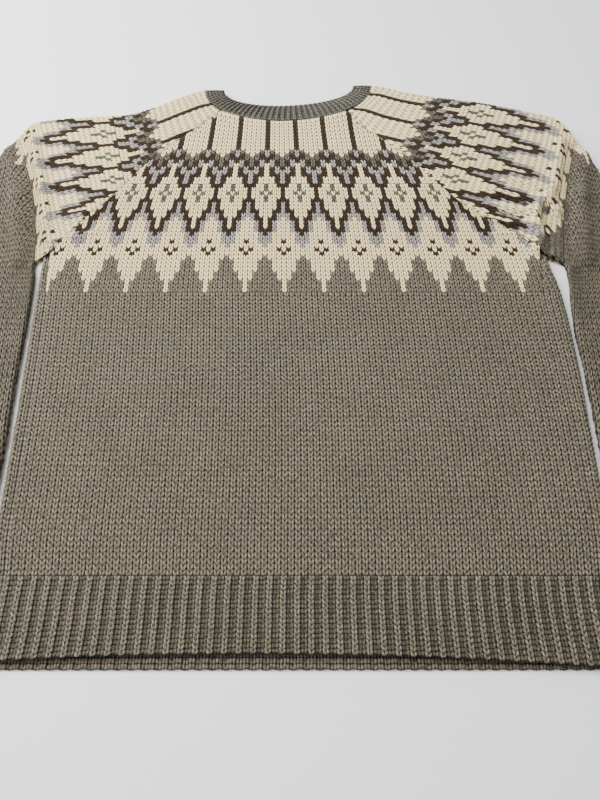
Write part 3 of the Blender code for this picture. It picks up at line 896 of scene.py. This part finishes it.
def close_wall(cloth, outer, inner, flip, colour):
    """Joins the edges of the outer and inner face all round."""
    sides = (
        (outer[0], inner[0], True),
        (np.array([line[-1] for line in outer]), np.array([line[-1] for line in inner]), True),
        (outer[-1], inner[-1], False),
        (np.array([line[0] for line in outer]), np.array([line[0] for line in inner]), False),
    )
    for first, second, turned in sides:
        cloth.zip_lines(first, second, colour, reverse=turned != flip)


def build_wall(name, parts, palette, seed, flip=False, inner_columns=INNER_COLUMNS,
               inner_step=INNER_STEP, inner_rib=False):
    """A closed piece from stacked parts, each a dict for knit_rows, low to high."""
    cloth = Cloth(palette, seed)
    main = np.array(palette["M"])
    outer = []
    sections = []
    for part in parts:
        lines = knit_rows(cloth, flip=flip, **part)
        if outer:
            cloth.zip_lines(outer[-1], lines[0], main, reverse=flip)
        outer += lines
        steps = max(1, round((part["last"] - part["first"]) / inner_step))
        for i in range(steps + 1):
            if sections and i == 0:
                continue
            t = part["first"] + (part["last"] - part["first"]) * i / steps
            low, high = (float(v) for v in part["limits"](np.array(t)))
            s = np.linspace(low, high, inner_columns)
            level = np.full_like(s, t)
            points, out = part["place"](s, level)
            thin = -rib_relief(s + 1, level) if inner_rib else np.zeros_like(s)
            sections.append((points, out, np.stack([s, level], -1), thin))
    # painted shade: the inner face and the closing edges take the yarn darkened to INSIDE_SHADE
    inner = inner_face(cloth, sections, flip, main * INSIDE_SHADE)
    close_wall(cloth, outer, inner, flip, main * INSIDE_SHADE)
    return cloth.object(name)


def fixed_limits(stitches):
    """Limits of rows that all have that many stitches."""
    return lambda t: (np.zeros(np.shape(t)), np.full(np.shape(t), float(stitches)))


def plain_part(place, stitches):
    """The part of the front or back below the yoke."""
    return dict(place=place, limits=fixed_limits(stitches), first=0, last=PLAIN_ROWS - JOIN,
                colour=plain_colour)


def yoke_parts(maker):
    """The two parts of a yoke, of eight and of six stitches in a repeat."""
    parts = []
    for stitches, first, last in ((WIDE_REPEAT, 0, WIDE_ROWS), (NARROW_REPEAT, WIDE_ROWS + JOIN, YOKE_ROWS)):
        place, limits = maker(stitches)
        parts.append(dict(place=place, limits=limits, first=first, last=last, colour=yoke_colour(stitches)))
    return parts


def make_front(palette):
    """The front from the hem's rib to the neckband."""
    parts = [plain_part(front_plain, PLAIN_STITCHES)] + yoke_parts(front_yoke)
    return build_wall("front_knit", parts, palette, SEED)


def back_letter(limits, letter):
    """The yoke's colours on the back, plain where its cloth wraps round the sides below the sleeves."""
    def letters(stitch, row):
        low, high = limits(np.array(float(row[0])))
        side = (stitch < low + BACK_PLAIN[0]) | (stitch > high - BACK_PLAIN[1])
        return np.where(side & (row < BACK_PLAIN[2]), "M", letter(stitch, row))
    return letters


def make_back(palette):
    """The back from the hem's rib to the neckband."""
    plain = plain_part(back_plain, BACK_STITCHES)
    yoke = yoke_parts(back_yoke)
    yoke[0]["colour"] = back_letter(yoke[0]["limits"], yoke[0]["colour"])
    return build_wall("back_knit", [plain] + yoke, palette, SEED + 1, flip=True)


def make_sleeve(side, palette):
    """A sleeve from the cuff's rib to the neckband."""
    sleeve = Tube(side, sleeve_table(side))
    sleeve.make_tuck(TUCK_ROW)

    def plain_width(t):
        return np.full(np.shape(t), SLEEVE_WIDTH)

    def yoke_part(stitches, first, last):
        letter = yoke_colour(stitches)
        part = sleeve.knit(lambda t: repeat_width(t) / stitches, of_side(FOLD_SHIFT, side) * stitches)

        def pocket_letter(stitch, row):
            edge = float(part["limits"](np.array(float(row[0])))[1])
            hidden = stitch > edge - (POCKET_ROW - row) * POCKET_TAPER
            return np.where(hidden, "M", letter(stitch, row))
        return dict(part, first=first, last=last, colour=of_side((letter, pocket_letter), side))
    parts = [
        dict(sleeve.knit(plain_width, 0.0), first=sleeve.first_row - JOIN, last=-JOIN, colour=plain_colour),
        yoke_part(WIDE_REPEAT, 0, WIDE_ROWS),
        yoke_part(NARROW_REPEAT, WIDE_ROWS + JOIN, YOKE_ROWS),
    ]
    return build_wall("sleeve_knit_" + of_side(("left", "right"), side), parts, palette, SEED + 3 + side,
                      flip=side > 0, inner_columns=SLEEVE_INNER_COLUMNS, inner_step=SLEEVE_INNER_STEP)


def front_edge_y(x):
    """The lower edge of the front's rib, which lies above the back's."""
    return FRONT_HEM_LIFT - FRONT_HEM_ARCH * ((x - FRONT_ARCH_X) / FRONT_ARCH_REACH) ** 2


def scallop(s, share):
    """How far the knit columns of a rib stand out past its edge."""
    return RIB_SCALLOP * np.cos(math.pi * (s - 0.5)) * (1 - share) ** 8


def front_rib(s, t):
    """The front's rib."""
    share = t / RIB_ROWS
    level = HEM_DEPTH * share
    left = seam_x(level, -1)
    x = left + (seam_x(level, 1) - left) * s / RIB_STITCHES
    low = front_edge_y(x) - scallop(s, share)
    return frontal(x, low + (HEM_DEPTH + RIB_LAP - low) * share)


def back_rib(s, t):
    """The back's rib."""
    share = t / RIB_ROWS
    y = (HEM_DEPTH + RIB_LAP) * share - scallop(s, share)
    low = back_limit(np.maximum(y, 0.0), -1)
    high = back_limit(np.maximum(y, 0.0), 1)
    points, out = back_path(low + (high - low) * s / BACK_STITCHES, np.maximum(y, 0.0))
    points[..., 1] = y
    return points, out


def neckband_place(s, t):
    """The neckband's outer face; s runs along the top from left to right and back beneath."""
    share = t / NECK_ROWS
    share = share - scallop(s, 1 - share) / BAND_SIDE
    middle = (NECK_HALF_WIDTH - BAND_SIDE / 2) ** 2 + (NECK_DROP - BAND_FRONT / 2) ** 2
    length = math.pi * math.sqrt(middle / 2)
    radius = (UPPER_Z - LOWER_Z) / 2
    quarter = radius * math.pi / 2
    sigma = s / NECK_STITCHES * (2 * length + 4 * quarter)
    stops = np.cumsum([quarter, length, 2 * quarter, length])
    reached = [sigma < stop for stop in stops]
    angle = np.select(reached, [math.pi, math.pi * (1 + (sigma - stops[0]) / length), 2 * math.pi,
                                math.pi * (2 - (sigma - stops[2]) / length)], math.pi)
    roll = np.select(reached, [sigma / quarter * math.pi / 2, math.pi / 2,
                               math.pi / 2 + math.pi * (sigma - stops[1]) / (2 * quarter), 3 * math.pi / 2],
                     3 * math.pi / 2 + (sigma - stops[3]) / quarter * math.pi / 2)
    outer_x, outer_y = neck_point(angle, SEAM_GAP)
    open_x = NECK_X + (NECK_HALF_WIDTH - BAND_SIDE) * np.cos(angle)
    open_y = NECK_TOP_Y + NECK_TILT * np.cos(angle) + (NECK_DROP - BAND_FRONT) * np.sin(angle)
    x = outer_x + (open_x - outer_x) * share
    y = outer_y + (open_y - outer_y) * share
    reach = radius + WALL / 2
    on_roll = reached[0] | ~reached[3] | (reached[2] & ~reached[1])
    forward = np.where(on_roll, np.abs(np.cos(roll)), 0.0)
    z = LOWER_Z + radius + reach * np.sin(roll)
    z = np.where(on_roll, z, np.where(np.sin(roll) > 0, upper_z(x, y) + WALL / 2, 0.0))
    puff = BAND_PUFF * np.sin(math.pi * np.clip(share, 0.0, 1.0)) * (np.sin(roll) > 0.9)
    out = np.stack([np.zeros_like(x), forward, np.sin(roll)], -1)
    return np.stack([x, y + reach * forward, z + puff], -1), out


def rib_colour(stitch, row):
    """Painted shade: purl stitches, which lie deep, take the darker letter P."""
    return np.where(stitch % 2 == 0, "M", "P")


def make_rib(name, place, stitches, rows, palette, seed, seam_last=True, **options):
    """A piece of one by one rib."""
    part = dict(place=place, limits=fixed_limits(stitches), first=0, last=rows, colour=rib_colour,
                relief=rib_relief, rib=True, seam_last=seam_last)
    return build_wall(name, [part], palette, seed, **options)


def make_cuff(side, palette):
    """The rib of a sleeve."""
    cuff = Tube(side, cuff_table(side))
    stitches = 2 * round(float(cuff.half(np.array(CUFF_ROWS / 2))) / CUFF_WIDTH)

    def place(s, t):
        return cuff.path((2 * s / stitches - 1) * cuff.half(t), t)
    name = "cuff_rib_" + of_side(("left", "right"), side)
    return make_rib(name, place, stitches, CUFF_ROWS, palette, SEED + 6 + side, flip=side > 0)


# ---------------------------------------------------------------- materials

def node(tree, kind, values=None, **fields):
    """A node with these values or links on its inputs. Returns the node."""
    made = tree.nodes.new(kind)
    for field, value in fields.items():
        setattr(made, field, value)
    for key, value in (values or {}).items():
        if isinstance(value, bpy.types.NodeSocket):
            tree.links.new(value, made.inputs[key])
        else:
            made.inputs[key].default_value = value
    return made


def maths(tree, operation, *values, clamp=False):
    """A maths node. Returns its output."""
    made = node(tree, "ShaderNodeMath", dict(enumerate(values)), operation=operation, use_clamp=clamp)
    return made.outputs[0]


def knit_group():
    """Yarn colour with its marl, painted shade in its grooves and painted light on its crests, and the height
    of the plies and fibres, from stitch coordinates.

    Height is in shares of the property "Yarn relief".
    """
    if "Knitted yarn" in bpy.data.node_groups:
        return bpy.data.node_groups["Knitted yarn"]
    tree = bpy.data.node_groups.new("Knitted yarn", "ShaderNodeTree")
    for name, kind, default in (("Yarn", "NodeSocketColor", (0.2, 0.18, 0.14, 1.0)),
                                ("Marl", "NodeSocketFloat", 0.5), ("Twist", "NodeSocketFloat", 1.0),
                                ("Fuzz", "NodeSocketFloat", 1.0)):
        tree.interface.new_socket(name, in_out="INPUT", socket_type=kind).default_value = default
    for name, kind in (("Colour", "NodeSocketColor"), ("Height", "NodeSocketFloat"),
                       ("Roughness", "NodeSocketFloat")):
        tree.interface.new_socket(name, in_out="OUTPUT", socket_type=kind)
    given = tree.nodes.new("NodeGroupInput")
    result = tree.nodes.new("NodeGroupOutput")
    stitches = node(tree, "ShaderNodeUVMap", uv_map="stitches")
    parts = node(tree, "ShaderNodeSeparateXYZ", {0: stitches.outputs[0]})
    u, v = parts.outputs[0], parts.outputs[1]
    a = maths(tree, "FRACT", u)
    aside = maths(tree, "ABSOLUTE", maths(tree, "SUBTRACT", a, 0.5))
    # plies: fine lines that cross each leg of the V on a slant
    slant = maths(tree, "MULTIPLY", aside, PLIES_ACROSS)
    ply = maths(tree, "SINE", maths(tree, "MULTIPLY_ADD", v, PLIES_ALONG, slant))
    ply = maths(tree, "MULTIPLY_ADD", ply, 0.5, 0.5)
    # strand: 1 along the middle of each leg, 0 at its sides
    strand = maths(tree, "ABSOLUTE", maths(tree, "SUBTRACT", aside, 0.25))
    strand = maths(tree, "SUBTRACT", 1.0, maths(tree, "POWER", maths(tree, "MULTIPLY", strand, 4.0), 2.0))
    # pinch: 1 where one stitch ends and the next starts
    row = maths(tree, "FRACT", v)
    pinch = maths(tree, "ABSOLUTE", maths(tree, "SUBTRACT", row, 0.5))
    pinch = maths(tree, "POWER", maths(tree, "MULTIPLY", pinch, 2.0), 3.0)
    place = node(tree, "ShaderNodeTexCoord").outputs["Object"]
    # fibres, flecks of the marl along each leg, and slow changes of tone over the cloth
    fibres = node(tree, "ShaderNodeTexNoise", {"Vector": place, "Scale": FIBRE_SCALE, "Detail": 3.0,
                                               "Roughness": 0.7, "Distortion": 0.6}).outputs[0]
    leg = maths(tree, "SIGN", maths(tree, "SUBTRACT", a, 0.5))
    flecks = node(tree, "ShaderNodeCombineXYZ", {0: maths(tree, "MULTIPLY", u, FLECKS[0]),
                                                 1: maths(tree, "MULTIPLY", v, FLECKS[1]),
                                                 2: maths(tree, "MULTIPLY", leg, FLECKS[2])})
    fleck = node(tree, "ShaderNodeTexNoise", {"Vector": flecks.outputs[0], "Scale": 1.0, "Detail": 3.0,
                                              "Roughness": 0.65}).outputs[0]
    drift = node(tree, "ShaderNodeTexNoise", {"Vector": place, "Scale": DRIFT_SCALE,
                                              "Detail": 2.0}).outputs[0]
    tones = []
    for noise, low, high, reach in ((fleck, 0.36, 0.66, FLECK_TONE), (fibres, 0.3, 0.7, FIBRE_TONE),
                                    (drift, 0.3, 0.7, DRIFT_TONE)):
        spread = {0: noise, 1: low, 2: high, 3: -reach, 4: reach}
        tones.append(node(tree, "ShaderNodeMapRange", spread).outputs[0])
    light, hair, wave = tones
    shade = maths(tree, "ADD", maths(tree, "ADD", light, hair), wave)
    # pale yarns show less of their marl
    pale = node(tree, "ShaderNodeSeparateColor", {0: given.outputs["Yarn"]}).outputs[1]
    marl = maths(tree, "MULTIPLY", given.outputs["Marl"], maths(tree, "SUBTRACT", 1.0, pale))
    shade = maths(tree, "MAXIMUM", maths(tree, "MULTIPLY_ADD", shade, marl, 1.0), DARKEST_FLECK)
    # painted shade: the colour is darkened in the grooves between the strands and where rows meet, and
    # painted lighter on the crests
    middle = maths(tree, "MULTIPLY", maths(tree, "SUBTRACT", 0.5, aside), MIDDLE_LIGHT)
    painted_groove_shade = maths(tree, "ADD", strand, maths(tree, "MULTIPLY", maths(tree, "SUBTRACT", 1.0, strand), middle))
    painted_groove_shade = maths(tree, "SUBTRACT", painted_groove_shade, maths(tree, "MULTIPLY", pinch, PINCH_SHADE), clamp=True)
    shade = maths(tree, "MULTIPLY", shade, maths(tree, "MULTIPLY", painted_groove_shade, CREST_LIGHT))
    scaled = node(tree, "ShaderNodeVectorMath", {0: given.outputs["Yarn"], "Scale": shade}, operation="SCALE")
    height = maths(tree, "MULTIPLY", strand, STRAND_HEIGHT)
    height = maths(tree, "MULTIPLY_ADD", pinch, -PINCH_DEPTH, height)
    twist = maths(tree, "MULTIPLY", ply, given.outputs["Twist"])
    height = maths(tree, "MULTIPLY_ADD", twist, PLY_HEIGHT, height)
    fuzz = maths(tree, "MULTIPLY", fibres, given.outputs["Fuzz"])
    height = maths(tree, "MULTIPLY_ADD", fuzz, FIBRE_HEIGHT, height)
    rough = maths(tree, "MULTIPLY_ADD", fibres, 0.2, 0.8, clamp=True)
    tree.links.new(scaled.outputs[0], result.inputs["Colour"])
    tree.links.new(height, result.inputs["Height"])
    tree.links.new(rough, result.inputs["Roughness"])
    return tree


def knit_material(name, marl):
    """Wool that takes its colour from the stitches, with painted shade in their grooves; marl is how strongly
    its tone varies.
    """
    material = bpy.data.materials.get(name)
    if material:
        return material
    material = bpy.data.materials.new(name)
    material.use_nodes = True
    tree = material.node_tree
    shader = tree.nodes["Principled BSDF"]
    yarn = node(tree, "ShaderNodeVertexColor", layer_name="yarn")
    settings = bpy.context.scene.jumper
    knit = node(tree, "ShaderNodeGroup", node_tree=knit_group())
    tree.links.new(yarn.outputs[0], knit.inputs["Yarn"])
    knit.inputs["Marl"].default_value = marl
    bump = node(tree, "ShaderNodeBump", {"Height": knit.outputs["Height"], "Distance": settings.yarn_relief,
                                         "Strength": 1.0})
    tree.links.new(knit.outputs["Colour"], shader.inputs["Base Color"])
    tree.links.new(knit.outputs["Roughness"], shader.inputs["Roughness"])
    tree.links.new(bump.outputs[0], shader.inputs["Normal"])
    shader.inputs["Sheen Weight"].default_value = settings.sheen
    shader.inputs["Sheen Roughness"].default_value = 0.5
    shader.inputs["Sheen Tint"].default_value = (1.0, 1.0, 1.0, 1.0)
    shader.inputs["Specular IOR Level"].default_value = 0.15
    return material


# ---------------------------------------------------------------- the add-on

class JumperSettings(bpy.types.PropertyGroup):
    """Colours of the yarns, the painted shade of the sleeves, and sizes of the knitting's finish"""

    taupe: FloatVectorProperty(name="Taupe", description="Yarn of the body and sleeves", subtype="COLOR",
                               default=(0.172, 0.148, 0.103), min=0.0, max=1.0)
    cream: FloatVectorProperty(name="Cream", description="Ground of the yoke", subtype="COLOR",
                               default=(0.95, 0.775, 0.42), min=0.0, max=1.0)
    brown: FloatVectorProperty(name="Brown", description="Outlines of the yoke", subtype="COLOR",
                               default=(0.034, 0.018, 0.008), min=0.0, max=1.0)
    lilac: FloatVectorProperty(name="Lilac grey", description="Second outline of the yoke", subtype="COLOR",
                               default=(0.335, 0.305, 0.27), min=0.0, max=1.0)
    olive: FloatVectorProperty(name="Olive grey", description="Middles of the diamonds", subtype="COLOR",
                               default=(0.115, 0.103, 0.072), min=0.0, max=1.0)
    grey: FloatVectorProperty(name="Grey", description="Yarn of the neckband", subtype="COLOR",
                              default=(0.17, 0.155, 0.125), min=0.0, max=1.0)
    # painted shade: the sleeves are knitted in the body's taupe; this share darkens it for the shade they lie
    # in
    sleeve_painted_shade: FloatProperty(name="Sleeve painted shade", description="Painted shade of the sleeves, as a share of the taupe",
                               default=0.82, min=0.5, max=1.2, subtype="FACTOR")
    sheen: FloatProperty(name="Sheen", description="Soft shine of the wool", default=0.08, min=0.0, max=1.0,
                         subtype="FACTOR")
    yarn_relief: FloatProperty(name="Yarn relief", description="Height of the plies and fibres",
                               default=0.0007, min=0.0, max=0.003, subtype="DISTANCE", unit="LENGTH",
                               precision=5)
    light: FloatProperty(name="Light", description="Power of the studio light", default=67.0, min=0.0,
                         max=500.0, subtype="POWER", unit="POWER")


def palette(main):
    """Colour of each letter of the charts, with that main yarn; P is the main yarn in painted shade, for purl
    columns.
    """
    settings = bpy.context.scene.jumper
    main = np.array(main)
    brown = np.array(settings.brown)
    return {"M": main, "C": np.array(settings.cream), "B": brown, "L": np.array(settings.lilac),
            "G": np.array(settings.olive), "D": brown * DARKEST_SHADE, "P": main * PURL_SHADE}


def body_palette():
    """The same with the taupe of the body."""
    return palette(bpy.context.scene.jumper.taupe)


def shaded_sleeve_palette():
    """The same with the body's taupe darkened by painted shade for the sleeves."""
    settings = bpy.context.scene.jumper
    return palette(np.array(settings.taupe) * settings.sleeve_painted_shade)


def fit(piece, cad_node, material):
    """Gives a piece its material and puts it in place of its solid, which it hides."""
    piece.data.materials.append(material)
    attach(piece, "root")
    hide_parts(cad_node)


class JUMPER_OT_body(bpy.types.Operator):
    """Knit the back and the front with their yoke"""
    bl_idname = "jumper.body"
    bl_label = "Front and back"

    def execute(self, context):
        material = knit_material("wool_body", BODY_MARL)
        fit(make_back(body_palette()), "back_panel", material)
        fit(make_front(body_palette()), "front_panel", material)
        return {"FINISHED"}


class JUMPER_OT_sleeves(bpy.types.Operator):
    """Knit both sleeves"""
    bl_idname = "jumper.sleeves"
    bl_label = "Sleeves"

    def execute(self, context):
        material = knit_material("wool_body", BODY_MARL)
        # painted shade: the sleeves take the taupe darkened by the sleeve share
        fit(make_sleeve(-1, shaded_sleeve_palette()), "sleeve_left", material)
        fit(make_sleeve(1, shaded_sleeve_palette()), "sleeve_right", material)
        return {"FINISHED"}


class JUMPER_OT_ribs(bpy.types.Operator):
    """Knit the ribs of the hem and cuffs"""
    bl_idname = "jumper.ribs"
    bl_label = "Hem and cuffs"

    def execute(self, context):
        material = knit_material("wool_rib", RIB_MARL)
        colours = body_palette()
        back = make_rib("hem_rib_knit_back", back_rib, BACK_STITCHES, RIB_ROWS, colours, SEED + 10, flip=True,
                        inner_columns=BACK_STITCHES * ACROSS + 1, inner_step=HEM_INNER_STEP, inner_rib=True)
        fit(back, "hem_rib_back", material)
        front = make_rib("hem_rib_knit_front", front_rib, RIB_STITCHES, RIB_ROWS, colours, SEED + 11)
        fit(front, "hem_rib_front", material)
        for side, name in ((-1, "left"), (1, "right")):
            # painted shade: the cuffs take the same darkened taupe as the sleeves
            cuff = make_cuff(side, shaded_sleeve_palette())
            fit(cuff, "cuff_" + name, material)
        return {"FINISHED"}


class JUMPER_OT_neckband(bpy.types.Operator):
    """Knit the neckband"""
    bl_idname = "jumper.neckband"
    bl_label = "Neckband"

    def execute(self, context):
        material = knit_material("wool_neck", RIB_MARL)
        colours = palette(context.scene.jumper.grey)
        band = make_rib("neckband_knit", neckband_place, NECK_STITCHES, NECK_ROWS, colours, SEED + 12,
                        inner_columns=BAND_INNER_COLUMNS, seam_last=False)
        fit(band, "neckband", material)
        return {"FINISHED"}


class JUMPER_OT_stage(bpy.types.Operator):
    """Set up the surface, the light and the camera"""
    bl_idname = "jumper.stage"
    bl_label = "Stage"

    def execute(self, context):
        half = FLOOR_SIZE / 2
        mesh = bpy.data.meshes.new("surface")
        corners = [(-half, -half, 0.0), (half, -half, 0.0), (half, half, 0.0), (-half, half, 0.0)]
        mesh.from_pydata(corners, [], [(0, 1, 2, 3)])
        floor = bpy.data.objects.new("surface", mesh)
        context.collection.objects.link(floor)
        material = bpy.data.materials.new("surface")
        material.use_nodes = True
        shader = material.node_tree.nodes["Principled BSDF"]
        shader.inputs["Base Color"].default_value = FLOOR_COLOUR
        shader.inputs["Roughness"].default_value = FLOOR_ROUGHNESS
        mesh.materials.append(material)

        world = bpy.data.worlds.new("studio")
        world.use_nodes = True
        world.node_tree.nodes["Background"].inputs["Color"].default_value = SKY_COLOUR
        world.node_tree.nodes["Background"].inputs["Strength"].default_value = SKY_STRENGTH
        context.scene.world = world

        lamp = bpy.data.lights.new("window", "AREA")
        lamp.shape = "RECTANGLE"
        lamp.size, lamp.size_y = WINDOW_SIZE
        lamp.energy = context.scene.jumper.light
        window = bpy.data.objects.new("window", lamp)
        window.location = WINDOW_PLACE
        window.rotation_euler = WINDOW_TILT
        context.collection.objects.link(window)

        camera = bpy.data.objects.new("camera", bpy.data.cameras.new("camera"))
        camera.location = CAMERA_PLACE
        camera.rotation_euler = (CAMERA_TILT, 0.0, 0.0)
        camera.data.lens = CAMERA_LENS
        camera.data.clip_start = CAMERA_NEAR
        context.collection.objects.link(camera)
        context.scene.camera = camera
        return {"FINISHED"}


OPERATORS = (JUMPER_OT_body, JUMPER_OT_sleeves, JUMPER_OT_ribs, JUMPER_OT_neckband, JUMPER_OT_stage)


class JUMPER_PT_panel(bpy.types.Panel):
    """Sizes, colours and steps of the jumper"""
    bl_label = "Jumper"
    bl_idname = "JUMPER_PT_panel"
    bl_space_type = "VIEW_3D"
    bl_region_type = "UI"
    bl_category = "Jumper"

    def draw(self, context):
        for name in JumperSettings.__annotations__:
            self.layout.prop(context.scene.jumper, name)
        for operator in OPERATORS:
            self.layout.operator(operator.bl_idname)


CLASSES = (JumperSettings, *OPERATORS, JUMPER_PT_panel)


def register():
    for item in CLASSES:
        bpy.utils.register_class(item)
    bpy.types.Scene.jumper = PointerProperty(type=JumperSettings)


def unregister():
    del bpy.types.Scene.jumper
    for item in reversed(CLASSES):
        bpy.utils.unregister_class(item)


def main():
    """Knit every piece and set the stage."""
    register()
    bpy.ops.jumper.body()
    bpy.ops.jumper.sleeves()
    bpy.ops.jumper.ribs()
    bpy.ops.jumper.neckband()
    bpy.ops.jumper.stage()
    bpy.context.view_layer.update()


if __name__ == "__main__":
    main()
